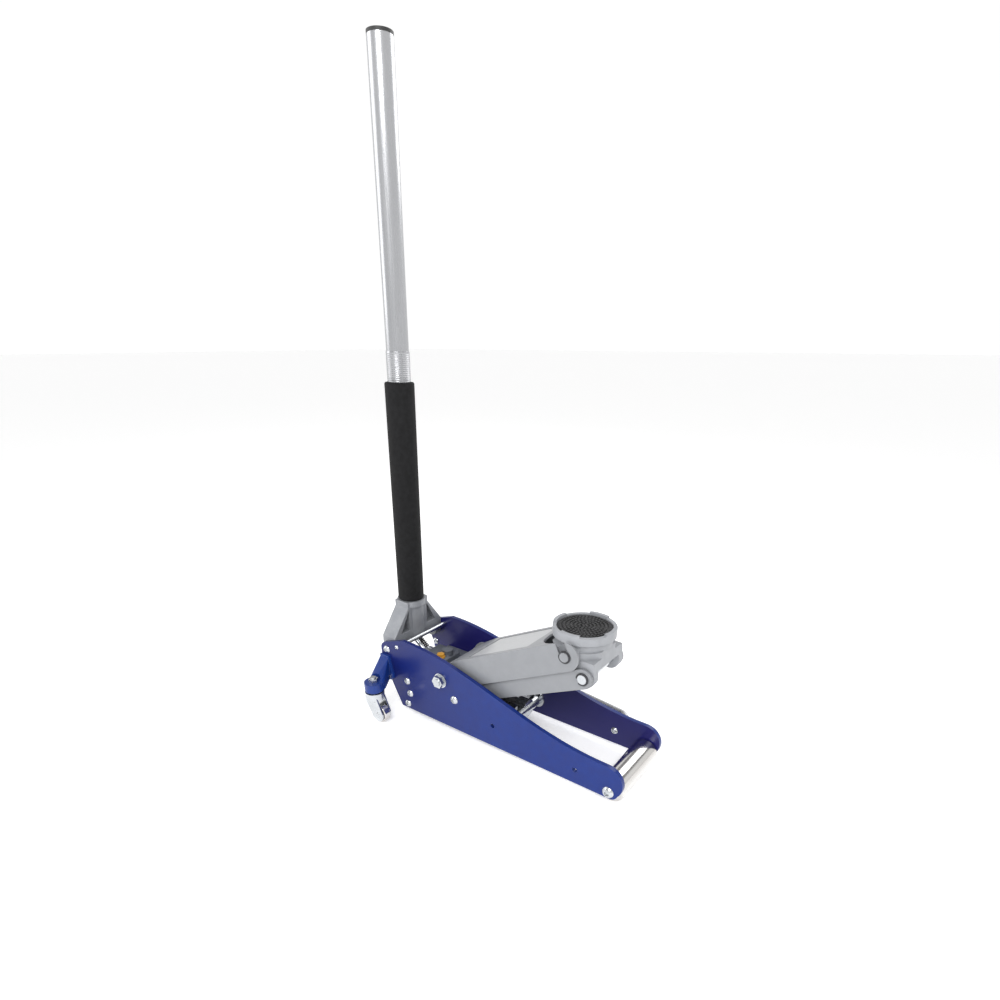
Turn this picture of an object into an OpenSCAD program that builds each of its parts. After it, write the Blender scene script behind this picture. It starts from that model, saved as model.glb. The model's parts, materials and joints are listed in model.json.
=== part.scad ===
// Low-profile hydraulic floor jack: two side plates, a lift arm with a levelling link, a front roller,
// swivel casters at the back and a two-part handle.
// +X points to the front roller, +Y to the left and +Z up. The floor is z = 0.

/* [Chassis] */
// Distance from the handle pivot to the front axle
wheelbase = 498; // [440:1:620]
// Clear width between the side plates
gap_w = 134; // [130:1:180]
// Thickness of a side plate
plate_t = 8; // [6:0.5:12]
// Height of the side plates' bottom edge above the floor
ground_gap = 11.5; // [6:0.5:16]
// Height of the side plates at the back
hump_h = 160; // [150:1:200]
// Height of the side plates at the nose
nose_h = 72; // [64:1:90]
// Height of the handle pivot
handle_pivot_z = 129; // [125:1:160]
// Radius of the front roller, which is also the height of its axle
roller_r = 23; // [20:0.5:28]
// Radius of the front axle
axle_r = 8; // [6:0.5:10]

/* [Lift arm] */
// Distance between the arm's two pivots
arm_len = 281; // [240:1:330]
// Angle of the arm above the horizontal as drawn
arm_angle = 26; // [0:1:45]
// How far the arm's pivot is ahead of the handle pivot
arm_pivot_ahead = 142; // [130:1:170]
// Height of the arm's pivot
arm_pivot_z = 108; // [104:1:130]
// Radius of the arm's rounded front end
arm_end_r = 25; // [20:0.5:30]
// Thickness of the arm's sides
arm_side_t = 4.5; // [3:0.5:6]
// Thickness of the arm's top
arm_top_t = 4; // [3:0.5:6]
// Radius of the arm's pivot shaft
shaft_r = 10; // [8:0.5:12]
// Radius of the saddle bracket's two pins
pin_r = 8; // [6:0.5:10]
// Half width of the levelling link's bars
link_half = 14; // [10:0.5:16]
// Thickness of the levelling link's bars
link_t = 5; // [3:0.5:6]

/* [Saddle] */
// Radius of the rubber pad
pad_r = 46; // [36:0.5:48]
// Wall of the saddle cup round the pad
cup_wall = 6; // [4:0.5:7]
// Depth of the pad in the cup
pad_t = 9; // [6:0.5:12]
// Height of the pad's top above the bracket's upper pin
pad_rise = 33; // [30:0.5:40]
// Radius of the saddle's stem
stem_r = 14; // [10:0.5:18]

/* [Hydraulics] */
// Outer radius of the ram cylinder
cylinder_r = 26; // [22:0.5:27]
// Bore radius of the ram cylinder
bore_r = 20; // [16:0.5:21]
// Radius of the ram
ram_r = 12.5; // [9:0.5:14]
// Height of the ram's axis
ram_z = 64; // [60:1:66]
// Lever radius from the arm's pivot to the ram links' pins
lever_h = 47.5; // [45:0.5:49]
// Radius of a pump plunger
plunger_r = 7; // [5:0.5:8]
// Sideways distance from the middle to each pump
pump_y = 22; // [20:0.5:24]

/* [Handle] */
// Forward lean of the handle as drawn
handle_lean = 1.5; // [0:0.5:4]
// Outer radius of the handle's tubes
tube_r = 18.5; // [16:0.5:20]
// Wall of the handle's tubes
tube_wall = 2.5; // [1.5:0.5:3]
// Outer radius of the foam sleeve
sleeve_r = 25; // [23:0.5:27]
// Length of the foam sleeve
sleeve_len = 390; // [300:5:480]
// Length of the upper tube that shows above the sleeve
upper_len = 420; // [300:5:500]
// Height of the socket above the handle pivot
socket_h = 87; // [80:1:100]

/* [Casters] */
// Distance from the middle plane to each caster's swivel axis
caster_y = 126.5; // [122:0.5:140]
// Radius of a caster wheel
wheel_r = 18.5; // [17:0.5:20]
// Width of a caster wheel
wheel_w = 15; // [12:0.5:18]
// Distance that the wheel trails from its swivel axis
trail = 14; // [10:0.5:18]
// Radius of the boss that holds the caster
boss_r = 18.5; // [17:0.5:20]
// Height of the underside of the boss
boss_z = 66; // [62:1:72]

/* [Carry handle] */
// Radius of the carry handle's round bar
bar_r = 6; // [4:0.5:8]
// Distance from the side plate to the middle of the bar's outer run
bar_reach = 52; // [40:1:60]

/* [Hidden] */
$fn = 96;

run = 0.05;      // radial clearance of a running fit
side_gap = 0.5;  // sideways clearance between parts that swing past each other
free_gap = 1;    // clearance round parts that don't guide each other

// Sideways stack, from the middle plane outwards
inner = gap_w / 2;
outer = inner + plate_t;
spacer_t = 7.5;
arm_out = inner - spacer_t;
arm_in = arm_out - arm_side_t;
link_out = arm_in - free_gap;
link_in = link_out - link_t;
lever_t = 5.5;
lever_out = link_in - free_gap;
lever_in = lever_out - lever_t;
ram_link_t = 6;
ram_link_out = lever_in - side_gap;
ram_link_in = ram_link_out - ram_link_t;

// Places seen from the side, as [x, z]
box_shift = 1;
handle_pivot = [box_shift - wheelbase / 2, handle_pivot_z];
front_axle_at = [box_shift + wheelbase / 2, roller_r];
arm_pivot = [handle_pivot.x + arm_pivot_ahead, arm_pivot_z];
link_offset = [31, -32];
link_pivot = arm_pivot + link_offset;
upper_pin_at = arm_pivot + arm_len * [cos(arm_angle), sin(arm_angle)];
lower_pin_at = upper_pin_at + link_offset;
stop_rod_at = handle_pivot + [29, 13];
unit_bolts_at = [for (p = [[51, -55], [57, -81], [49, -107]]) handle_pivot + p];
carry_at = [front_axle_at + [-235, 32], front_axle_at + [-63, 15]];
bracket_screws_at = [handle_pivot + [-1, -38], handle_pivot + [9, -55]];
kingpin_at = [handle_pivot.x + 12, caster_y];

// Radii of fasteners and of the holes that they fill
unit_bolt_r = 4;
screw_r = 4;
screw_hole_r = 4.5;
link_bolt_r = 7;
socket_bolt_r = 6;
stop_rod_r = 4.5;
stop_screw_r = 2.5;
nut_thread_r = 7;
kingpin_r = 5;

// Ram and lever: the lever swings the same angle either side of straight down over the full travel
lever_rest = 5;
lever_pin_r = 7;
lever_pin_at = arm_pivot + lever_h * [sin(lever_rest), -cos(lever_rest)];
crosshead_at = [lever_pin_at.x + 138, ram_z];
slot_rise = 3.5;
block_front = arm_pivot.x - 52;
block_back = arm_pivot.x - 106;
cylinder_front = crosshead_at.x - 57;
gland_len = 9;

// Pumps: the rollers on the socket press the plungers' caps along this axis
pump_tilt = 38;
pump_arm = 20;
pump_half_swing = 36;
pump_roller_r = 7;
pump_lift = 18;
pump_along = [cos(pump_tilt), -sin(pump_tilt)];
pump_down = [-sin(pump_tilt), -cos(pump_tilt)];
pump_foot = handle_pivot + pump_lift * pump_down;
roller_angle = pump_tilt + pump_half_swing;
roller_at = handle_pivot + pump_arm * [-sin(roller_angle), -cos(roller_angle)];
cap_start = pump_roller_r + 0.6 - pump_arm * sin(pump_half_swing);
cap_t = 4;
cap_r = 10;
barrel_start = 36;
barrel_len = 52;
barrel_r = 12;

// Release valve rod, which runs forward and down from the handle pivot
release_tilt = 38;
release_r = 4.5;
ball_r = 7;

// Saddle heights above the upper pin
cup_floor = 5;
cup_r = pad_r + cup_wall;
cup_bottom = pad_rise - pad_t - cup_floor;
ring_bottom = cup_bottom - 13;
ring_r = cup_r - 5;

// Handle lengths, measured along the handle from its pivot
socket_bore_bottom = 18;
sleeve_end = socket_h + sleeve_len;
collar_len = 46;
upper_end = sleeve_end + upper_len;

// Radius of the tangent circle through a dome's edge and top
function dome_radius(r, h) = (r * r + h * h) / (2 * h);

// The outline that wraps two circles, as a belt does
module strap(p, q, rp, rq) {
    d = q - p;
    along = atan2(d.y, d.x);
    lean = acos((rp - rq) / norm(d));
    translate(p) circle(rp);
    translate(q) circle(rq);
    polygon([
        p + rp * [cos(along + lean), sin(along + lean)],
        q + rq * [cos(along + lean), sin(along + lean)],
        q + rq * [cos(along - lean), sin(along - lean)],
        p + rp * [cos(along - lean), sin(along - lean)]]);
}

// Extrudes a side view, drawn as [x, z], from y0 to y1
module slab(y0, y1) {
    translate([0, y1, 0]) rotate([90, 0, 0]) linear_extrude(y1 - y0) children();
}

// A round bar across the jack, from y0 to y1 at the side-view point p
module cross_bar(p, r, y0, y1) {
    slab(y0, y1) translate(p) circle(r);
}

module both_sides() {
    children();
    mirror([0, 1, 0]) children();
}

// Turns +Z to the left at the side-view point p and the sideways distance y
module facing_out(p, y) {
    translate([p.x, y, p.y]) rotate([-90, 0, 0]) children();
}

// Turns +Z along a side-view direction that points down by tilt
module facing_down(p, y, tilt) {
    translate([p.x, y, p.y]) rotate([0, 90 + tilt, 0]) children();
}

// Button head with a hexagon socket, standing on z = 0
module button_head(r, h) {
    socket_r = r * 0.45;
    difference() {
        rotate_extrude() intersection() {
            translate([0, h - dome_radius(r, h)]) circle(dome_radius(r, h));
            square([r, h]);
        }
        translate([0, 0, h * 0.45]) cylinder(h = h, r = socket_r, $fn = 6);
    }
}

// Screw that points down from z = 0, with its head above
module button_screw(r, len, head_r, head_h) {
    button_head(head_r, head_h);
    translate([0, 0, -len]) cylinder(h = len, r = r);
}

// Open ring that snaps round the end of a pin, standing on z = 0
module snap_ring(r, width, t) {
    opening = 50;
    rotate([0, 0, 90 + opening / 2]) rotate_extrude(angle = 360 - opening)
        translate([r, 0]) square([width, t]);
}

/* Side plates */

nose_r = (nose_h - ground_gap) / 2;
nose_x = front_axle_at.x - 6;
hump_x = handle_pivot.x + 45;
corner_r = 15.5;

// The top edge falls from the hump to the nose along half a cosine wave
function top_edge(t) = [
    hump_x + t * (nose_x - hump_x),
    nose_h + (hump_h - nose_h) * (1 + cos(180 * t)) / 2];

// Points along an arc, from the angle a0 to the angle a1
function arc(c, r, a0, a1, steps = 14) =
    [for (i = [0:steps]) for (a = [a0 + (a1 - a0) * i / steps]) c + r * [cos(a), sin(a)]];

module plate_outline() {
    steps = 40;
    toe_r = 14;
    polygon(concat(
        [for (i = [0:steps - 1]) top_edge(i / steps)],
        arc([nose_x, ground_gap + nose_r], nose_r, 90, -41),
        arc([nose_x + nose_r - toe_r - 7, ground_gap + toe_r], toe_r, -15, -90),
        [[handle_pivot.x + 32, ground_gap], handle_pivot + [-corner_r + 1, -25]],
        arc(handle_pivot, corner_r, 180, 112)));
}

module plate_holes() {
    translate(handle_pivot) circle(socket_bolt_r);
    translate(stop_rod_at) circle(stop_screw_r);
    translate(arm_pivot) circle(shaft_r);
    translate(link_pivot) circle(link_bolt_r);
    translate(front_axle_at) circle(axle_r);
    for (p = unit_bolts_at) translate(p) circle(unit_bolt_r);
    for (p = carry_at) translate(p) circle(screw_hole_r);
    for (p = bracket_screws_at) translate(p) circle(screw_r);
}

module side_plate() {
    color("royalblue") slab(inner, outer) difference() {
        plate_outline();
        plate_holes();
    }
}

module side_plate_left() side_plate();
module side_plate_right() mirror([0, 1, 0]) side_plate();

/* Front roller */

bush_r = 14;
bush_len = 16;
roller_half = inner - free_gap;

module front_roller() {
    chamfer = 1.5;
    color("gainsboro") facing_out(front_axle_at, -roller_half) rotate_extrude() polygon([
        [bush_r, 0],
        [roller_r - chamfer, 0],
        [roller_r, chamfer],
        [roller_r, 2 * roller_half - chamfer],
        [roller_r - chamfer, 2 * roller_half],
        [bush_r, 2 * roller_half]]);
}

module roller_bushes() {
    color("dimgray") both_sides() slab(roller_half - bush_len, roller_half) difference() {
        translate(front_axle_at) circle(bush_r);
        translate(front_axle_at) circle(axle_r + run);
    }
}

module front_axle() {
    screw_depth = 18;
    color("silver") difference() {
        cross_bar(front_axle_at, axle_r, -outer, outer);
        both_sides() cross_bar(front_axle_at, screw_r, outer - screw_depth, outer);
    }
}

module axle_screws() {
    color("silver") both_sides() facing_out(front_axle_at, outer) button_screw(screw_r, 18, 10.5, 6);
}

/* Power unit */

head_z = arm_pivot_z - 2;
block_top = arm_pivot_z - 16;
head_half = pump_y + barrel_r + 5;
plug_at = [block_front - 12, -4];
plug_r = 8;
release_along = [cos(release_tilt), -sin(release_tilt)];
release_seat = 36;
release_len = 66;

module unit_block() {
    block_bottom = ground_gap + 3;
    release_boss_r = 9;
    plug_depth = 12;
    color("darkgray") difference() {
        union() {
            slab(-inner, inner) polygon([
                [block_back, block_bottom],
                [block_front, block_bottom],
                [block_front, block_top],
                [block_back, block_top]]);
            slab(-head_half, head_half) polygon([
                [block_back, block_top - 1],
                [block_front, block_top - 1],
                [block_front, head_z - 4],
                [block_front - 4, head_z],
                [block_back, head_z]]);
            facing_down(handle_pivot + release_seat * release_along, 0, release_tilt)
                cylinder(h = 40, r = release_boss_r);
            translate([block_front - 12, 17, block_top]) cylinder(h = 24, r = 11);
        }
        both_sides() facing_down(pump_foot + barrel_start * pump_along, pump_y, pump_tilt)
            cylinder(h = barrel_len, r = barrel_r);
        facing_down(handle_pivot, 0, release_tilt)
            cylinder(h = release_len + free_gap, r = release_r + run);
        both_sides() for (p = unit_bolts_at) cross_bar(p, unit_bolt_r, inner - 26, inner);
        translate([plug_at.x, plug_at.y, head_z - plug_depth]) cylinder(h = plug_depth, r = plug_r - 2);
        cross_x(block_front - 8, block_front, cylinder_r);
    }
}

// A round bar along the ram's axis, from x0 to x1
module cross_x(x0, x1, r) {
    translate([x0, 0, ram_z]) rotate([0, 90, 0]) cylinder(h = x1 - x0, r = r);
}

module cylinder_tube() {
    floor_t = 12;
    color("lightgray") difference() {
        cross_x(block_front - 8, cylinder_front, cylinder_r);
        cross_x(block_front - 8 + floor_t, cylinder_front, bore_r);
    }
}

module cylinder_gland() {
    color("gray") difference() {
        union() {
            cross_x(cylinder_front, cylinder_front + gland_len, cylinder_r - 2);
            cross_x(cylinder_front - 10, cylinder_front, bore_r);
        }
        cross_x(cylinder_front - 10, cylinder_front + gland_len, ram_r + run);
        for (a = [0, 90, 180, 270]) translate([cylinder_front + gland_len - 4, 0, ram_z])
            rotate([a, 0, 0]) translate([0, cylinder_r - 5, -2.5]) cube([4, 5, 5]);
    }
}

module safety_plug() {
    color("orange") translate([plug_at.x, plug_at.y, head_z]) {
        cylinder(h = 3, r = plug_r + 1);
        translate([0, 0, 3]) cylinder(h = 5, r = plug_r, $fn = 6);
        translate([0, 0, -10]) cylinder(h = 10, r = plug_r - 2);
    }
}

module pump_barrels() {
    color("silver") both_sides()
        facing_down(pump_foot + barrel_start * pump_along, pump_y, pump_tilt) difference() {
            union() {
                cylinder(h = barrel_len, r = barrel_r);
                translate([0, 0, -4]) cylinder(h = 4, r = barrel_r - 2, $fn = 6);
            }
            translate([0, 0, -4]) cylinder(h = barrel_len, r = plunger_r + run);
        }
}

module unit_bolts() {
    color("white") both_sides() for (p = unit_bolts_at) facing_out(p, outer)
        button_screw(unit_bolt_r, plate_t + 22, 7.5, 4.5);
}

/* Pivots in the chassis */

module arm_pivot_shaft() {
    color("silver") {
        cross_bar(arm_pivot, shaft_r, -outer, outer);
        both_sides() cross_bar(arm_pivot, nut_thread_r, outer, outer + 13);
    }
}

module arm_pivot_nuts() {
    washer_t = 2.5;
    washer_r = 14.5;
    nut_r = 12.4;
    nut_h = 9;
    color("gainsboro") both_sides() facing_out(arm_pivot, outer) difference() {
        union() {
            cylinder(h = washer_t, r = washer_r);
            translate([0, 0, washer_t]) cylinder(h = nut_h, r = nut_r, $fn = 6);
        }
        cylinder(h = washer_t + nut_h, r = nut_thread_r);
    }
}

module pivot_spacers() {
    color("silver") both_sides() {
        slab(arm_out + side_gap, inner) translate(arm_pivot) difference() {
            circle(16);
            circle(shaft_r);
        }
        slab(link_out + side_gap, inner) translate(link_pivot) difference() {
            circle(link_bolt_r + 2);
            circle(link_bolt_r);
        }
    }
}

module link_pivot_bolts() {
    color("white") both_sides() facing_out(link_pivot, outer)
        button_screw(link_bolt_r, outer - link_in + side_gap, 8.5, 5);
}

module socket_pivot_bolts() {
    color("white") both_sides() facing_out(handle_pivot, outer)
        button_screw(socket_bolt_r, outer - lug_in + side_gap, 8, 5);
}

module stop_rod() {
    screw_depth = 12;
    color("gainsboro") difference() {
        cross_bar(stop_rod_at, stop_rod_r, -inner, inner);
        both_sides() cross_bar(stop_rod_at, stop_screw_r, inner - screw_depth, inner);
    }
}

module stop_rod_screws() {
    color("white") both_sides() facing_out(stop_rod_at, outer)
        button_screw(stop_screw_r, plate_t + 12, 4.5, 3);
}

/* Casters */

flange_t = 6;
boss_h = 18;

module caster_bracket() {
    flange_back = handle_pivot.x - 14;
    flange_w = 22;
    flange_top = handle_pivot.y - 11;
    foot_r = 8;
    color("mediumblue") difference() {
        union() {
            hull() {
                translate([flange_back, outer, boss_z + 6])
                    cube([flange_w, flange_t, flange_top - boss_z - 6]);
                translate([bracket_screws_at[1].x, outer + flange_t, bracket_screws_at[1].y])
                    rotate([90, 0, 0]) cylinder(h = flange_t, r = foot_r, $fn = 32);
            }
            hull() {
                translate([flange_back, outer + flange_t - 1, boss_z + 3])
                    cube([flange_w, 1, flange_top - boss_z - 8]);
                translate([kingpin_at.x, caster_y - boss_r * 0.5, boss_z])
                    cylinder(h = boss_h, r = boss_r * 0.85, $fn = 32);
            }
            translate([kingpin_at.x, caster_y, boss_z]) cylinder(h = boss_h, r = boss_r);
        }
        translate([kingpin_at.x, caster_y, boss_z]) cylinder(h = boss_h, r = kingpin_r);
        translate([kingpin_at.x, caster_y, boss_z + boss_h]) cylinder(h = 40, r = 13.5);
        for (p = bracket_screws_at) cross_bar(p, screw_r, outer, outer + 12);
    }
}

module caster_bracket_left() caster_bracket();
module caster_bracket_right() mirror([0, 1, 0]) caster_bracket();

// Screws put in from the inside: two for each bracket and two for the carry handle
module plate_screws() {
    head_r = 7;
    head_h = 4;
    color("white") {
        both_sides() for (p = bracket_screws_at)
            facing_out(p, inner) mirror([0, 0, 1]) button_screw(screw_r, plate_t + 10, head_r, head_h);
        for (p = carry_at)
            facing_out(p, inner) mirror([0, 0, 1]) button_screw(screw_r, plate_t + 14, head_r, head_h);
    }
}

fork_top = boss_z - 3;
fork_plate_t = 3;
fork_gap = wheel_w + 2 * free_gap;
fork_side_t = 3;
kingpin_head_h = 4;

module caster_kingpins() {
    nut_h = 7;
    head_top = fork_top - fork_plate_t - side_gap;
    pin_top = boss_z + boss_h + 10;
    color("gainsboro") both_sides() translate([kingpin_at.x, caster_y, 0]) {
        translate([0, 0, head_top - kingpin_head_h]) cylinder(h = kingpin_head_h, r = 9);
        translate([0, 0, head_top]) cylinder(h = pin_top - head_top, r = kingpin_r);
        difference() {
            translate([0, 0, boss_z + boss_h]) cylinder(h = nut_h, r = 9.2, $fn = 6);
            translate([0, 0, boss_z + boss_h]) cylinder(h = nut_h, r = kingpin_r);
        }
        difference() {
            translate([0, 0, fork_top + side_gap]) cylinder(h = boss_z - fork_top - side_gap, r = 12);
            translate([0, 0, fork_top + side_gap]) cylinder(h = boss_z - fork_top, r = kingpin_r);
        }
    }
}

wheel_at = [kingpin_at.x + trail, wheel_r];

module caster_fork() {
    skirt_h = 15;
    crown_r = boss_r + 0.5;
    axle_eye_r = 15;
    crown_edge = [wheel_at.x - trail, fork_top - skirt_h];
    color("gainsboro") difference() {
        union() {
            translate([kingpin_at.x, caster_y, fork_top - skirt_h]) cylinder(h = skirt_h, r = crown_r);
            for (s = [-1, 1]) translate([0, caster_y + s * (fork_gap + fork_side_t) / 2, 0])
                slab(-fork_side_t / 2, fork_side_t / 2)
                    strap(crown_edge, wheel_at, crown_r - 2, axle_eye_r);
        }
        translate([kingpin_at.x, caster_y, 0]) cylinder(h = 90, r = kingpin_r + run);
        translate([kingpin_at.x, caster_y, fork_top]) cylinder(h = crown_r, r = 2 * crown_r);
        translate([kingpin_at.x, caster_y, fork_top - fork_plate_t - skirt_h])
            cylinder(h = skirt_h, r = crown_r - fork_side_t);
        cross_bar(wheel_at, wheel_r + 2 * free_gap, caster_y - fork_gap / 2, caster_y + fork_gap / 2);
        cross_bar(wheel_at, 4, caster_y - 20, caster_y + 20);
    }
}

module caster_fork_left() caster_fork();
module caster_fork_right() mirror([0, 1, 0]) caster_fork();

module caster_axle() {
    half = fork_gap / 2 + fork_side_t;
    color("silver") {
        cross_bar(wheel_at, 4, caster_y - half, caster_y + half);
        for (s = [-1, 1]) facing_out(wheel_at, caster_y + s * half)
            mirror([0, 0, s < 0 ? 1 : 0]) rotate_extrude() intersection() {
                translate([0, 2.5 - dome_radius(6.5, 2.5)]) circle(dome_radius(6.5, 2.5));
                square([6.5, 2.5]);
            }
    }
}

module caster_axle_left() caster_axle();
module caster_axle_right() mirror([0, 1, 0]) caster_axle();

module caster_wheel() {
    groove = 1;
    color("lightgray") facing_out(wheel_at, caster_y - wheel_w / 2) rotate_extrude() polygon([
        [4 + run, 0],
        [8, 0],
        [9, groove],
        [wheel_r - 4, groove],
        [wheel_r - 3, 0],
        [wheel_r - 1.5, 0],
        [wheel_r, 1.5],
        [wheel_r, wheel_w - 1.5],
        [wheel_r - 1.5, wheel_w],
        [wheel_r - 3, wheel_w],
        [wheel_r - 4, wheel_w - groove],
        [9, wheel_w - groove],
        [8, wheel_w],
        [4 + run, wheel_w]]);
}

module caster_wheel_left() caster_wheel();
module caster_wheel_right() mirror([0, 1, 0]) caster_wheel();

/* Carry handle */

// A bar that leaves the left plate at both of its holes and is bent round to run beside it
module carry_handle() {
    run_len = norm(carry_at[1] - carry_at[0]);
    slope = atan2(carry_at[0].y - carry_at[1].y, carry_at[1].x - carry_at[0].x);
    bend_r = 20;
    leg = bar_reach - bend_r;
    color("whitesmoke") difference() {
        translate([carry_at[0].x, outer, carry_at[0].y]) rotate([0, slope, 0]) {
            for (x = [0, run_len]) translate([x, 0, 0]) rotate([-90, 0, 0])
                cylinder(h = leg, r = bar_r);
            for (x = [0, run_len]) translate([x == 0 ? bend_r : run_len - bend_r, leg, 0])
                rotate([0, 0, x == 0 ? 90 : 0]) rotate_extrude(angle = 90)
                    translate([bend_r, 0]) circle(bar_r);
            translate([bend_r, bar_reach, 0]) rotate([0, 90, 0])
                cylinder(h = run_len - 2 * bend_r, r = bar_r);
        }
        for (p = carry_at) cross_bar(p, screw_r, outer, outer + 14);
    }
}

/* Springs, drawn as the tubes that hold their coils */

spring_y = ram_link_in - 4.5 - side_gap;

module return_springs() {
    color("black") both_sides() translate([block_front, spring_y, ram_z + 12]) rotate([0, 90, 0])
        difference() {
            cylinder(h = crosshead_at.x - crosshead_back - block_front, r = 4);
            cylinder(h = crosshead_at.x - block_front, r = 2.5);
        }
}

module pump_springs() {
    start = cap_start + cap_t;
    color("gray") both_sides()
        facing_down(pump_foot + start * pump_along, pump_y, pump_tilt) difference() {
            cylinder(h = barrel_start - 4 - start, r = cap_r - 0.5);
            cylinder(h = barrel_start, r = cap_r - 2.2);
        }
}

/* Lift arm */

arm_boss_r = 25;
lever_tube_r = 16;
arm_top_rear = 27;

module in_arm() {
    translate([arm_pivot.x, 0, arm_pivot.y]) rotate([0, -arm_angle, 0]) children();
}

// Outline of one side, with the arm's pivot at the origin and the arm along +X
module arm_side_outline() {
    circle(arm_boss_r);
    translate([arm_len, 0]) circle(arm_end_r);
    polygon([
        [8, arm_boss_r - 2],
        [50, arm_top_rear],
        [arm_len, arm_end_r],
        [arm_len, -arm_end_r],
        [78, -arm_end_r],
        [50, -12],
        [0, -12]]);
}

module lift_arm() {
    panel_deep = 1.5;
    border = 11;
    scoop_r = cup_r + 8;
    color("lightgray") in_arm() difference() {
        union() {
            both_sides() slab(arm_in, arm_out) arm_side_outline();
            slab(-arm_in, arm_in) polygon([
                [10, arm_boss_r - 2],
                [50, arm_top_rear],
                [arm_len, arm_end_r],
                [arm_len, arm_end_r - arm_top_t],
                [50, arm_top_rear - arm_top_t],
                [10, arm_boss_r - 2 - arm_top_t]]);
        }
        slab(-arm_out + border, arm_out - border) polygon([
            [64, arm_top_rear + 5],
            [arm_len - scoop_r - 14, arm_end_r + 5],
            [arm_len - scoop_r - 14, arm_end_r - panel_deep + 0.4],
            [64, arm_top_rear - panel_deep - 0.1]]);
        translate([arm_len, 0, 0]) cylinder(h = 60, r = scoop_r);
        translate([arm_len, -arm_in, 0]) cube([60, 2 * arm_in, 60]);
        cross_bar([0, 0], lever_tube_r, -arm_out, arm_out);
        cross_bar([arm_len, 0], pin_r, -arm_out, arm_out);
    }
}

module arm_lever() {
    eye_r = 13;
    color("lightgray") {
        slab(-arm_out, arm_out) translate(arm_pivot) difference() {
            circle(lever_tube_r);
            circle(shaft_r + run);
        }
        both_sides() slab(lever_in, lever_out) difference() {
            strap(arm_pivot, lever_pin_at, lever_tube_r + 6, eye_r);
            translate(arm_pivot) circle(lever_tube_r);
            translate(lever_pin_at) circle(lever_pin_r);
        }
    }
}

module lever_pins() {
    color("silver") both_sides() cross_bar(lever_pin_at, lever_pin_r, ram_link_in, lever_out);
}

// Two short pins, so that the saddle's stem can hang between them
module upper_pins() {
    color("silver") both_sides() cross_bar(upper_pin_at, pin_r, ear_out - ear_t, arm_out + 3);
}

module upper_pin_clips() {
    color("dimgray") both_sides() facing_out(upper_pin_at, arm_out) rotate([0, 0, 120])
        snap_ring(pin_r, 3, 1.5);
}

/* Levelling link */

module levelling_link() {
    web_t = 4;
    eye_gap = 0.3;
    color("lightgray") translate([link_pivot.x, 0, link_pivot.y]) rotate([0, -arm_angle, 0])
        difference() {
            union() {
                both_sides() slab(link_in, link_out)
                    strap([0, 0], [arm_len, 0], link_half, link_half + 3);
                slab(-link_in - 1, link_in + 1) translate([150, -link_half]) square([85, web_t]);
            }
            cross_bar([0, 0], link_bolt_r + run, -link_out, link_out);
            cross_bar([arm_len, 0], pin_r + eye_gap, -link_out, link_out);
        }
}

/* Saddle bracket, drawn about the upper pin */

ear_out = link_in - free_gap;
ear_t = 13;

module in_bracket() {
    translate([upper_pin_at.x, 0, upper_pin_at.y]) children();
}

module saddle_bracket() {
    pin_boss_r = 18;
    color("lightgray") in_bracket() difference() {
        union() {
            translate([0, 0, ring_bottom]) cylinder(h = cup_bottom - ring_bottom, r = ring_r);
            intersection() {
                slab(-ear_out, ear_out) {
                    strap([0, 0], link_offset, pin_boss_r, pin_boss_r);
                    polygon([
                        [-ring_r + 6, ring_bottom + 1],
                        [-pin_boss_r, 0],
                        [0, -pin_boss_r],
                        link_offset,
                        link_offset + [pin_boss_r, 0],
                        [ring_r - 2, ring_bottom + 1]]);
                }
                union() {
                    translate([0, 0, -80]) cylinder(h = 100, r = ring_r + 4);
                    translate([-10, -ear_out, -80]) cube([80, 2 * ear_out, 76]);
                }
            }
        }
        slab(-ear_out + ear_t, ear_out - ear_t) {
            polygon([
                [-80, -2],
                [link_offset.x - 8, -2],
                [link_offset.x + 2, link_offset.y + pin_r + 4],
                [90, link_offset.y + pin_r + 4],
                [90, -90],
                [-80, -90]]);
        }
        cross_bar([0, 0], pin_r + run, -ear_out, ear_out);
        cross_bar(link_offset, pin_r, -ear_out, ear_out);
        cylinder(h = 60, r = stem_r + run);
        cylinder(h = ring_bottom, r = stem_r + 6);
    }
}

module lower_pin() {
    color("silver") cross_bar(lower_pin_at, pin_r, -link_out - 2.5, link_out + 2.5);
}

module lower_pin_clips() {
    color("dimgray") both_sides() facing_out(lower_pin_at, link_out + 0.4) rotate([0, 0, 60])
        snap_ring(pin_r, 3, 1.5);
}

/* Saddle */

clip_t = 2;
clip_gap = 0.5;

module saddle_cup() {
    rim = 3;
    lug_angle = 40;
    stem_bottom = ring_bottom - clip_t - clip_gap - 2;
    color("lightgray") in_bracket() difference() {
        union() {
            translate([0, 0, cup_bottom + 0.3])
                cylinder(h = cup_floor + pad_t + rim - 0.3, r = cup_r);
            translate([0, 0, stem_bottom]) cylinder(h = cup_bottom + 1 - stem_bottom, r = stem_r);
        }
        translate([0, 0, cup_bottom + cup_floor]) cylinder(h = 30, r = pad_r);
        for (a = [0, 90, 180, 270]) rotate([0, 0, a + lug_angle / 2])
            translate([0, 0, pad_rise]) rotate_extrude(angle = 90 - lug_angle)
                translate([pad_r - 1, 0]) square([cup_wall + 2, rim + 1]);
    }
}

module saddle_pad() {
    color("darkslategray") in_bracket() translate([0, 0, cup_bottom + cup_floor])
        cylinder(h = pad_t, r = pad_r);
}

module saddle_clip() {
    color("dimgray") in_bracket() translate([0, 0, ring_bottom - clip_t - clip_gap])
        snap_ring(stem_r, 3, clip_t);
}

/* Ram */

crosshead_r = 10.5;
crosshead_back = 16;
journal_r = 8;

piston_front = cylinder_front - 32;
piston_back = piston_front - 22;
piston_skirt = 4;

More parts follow.
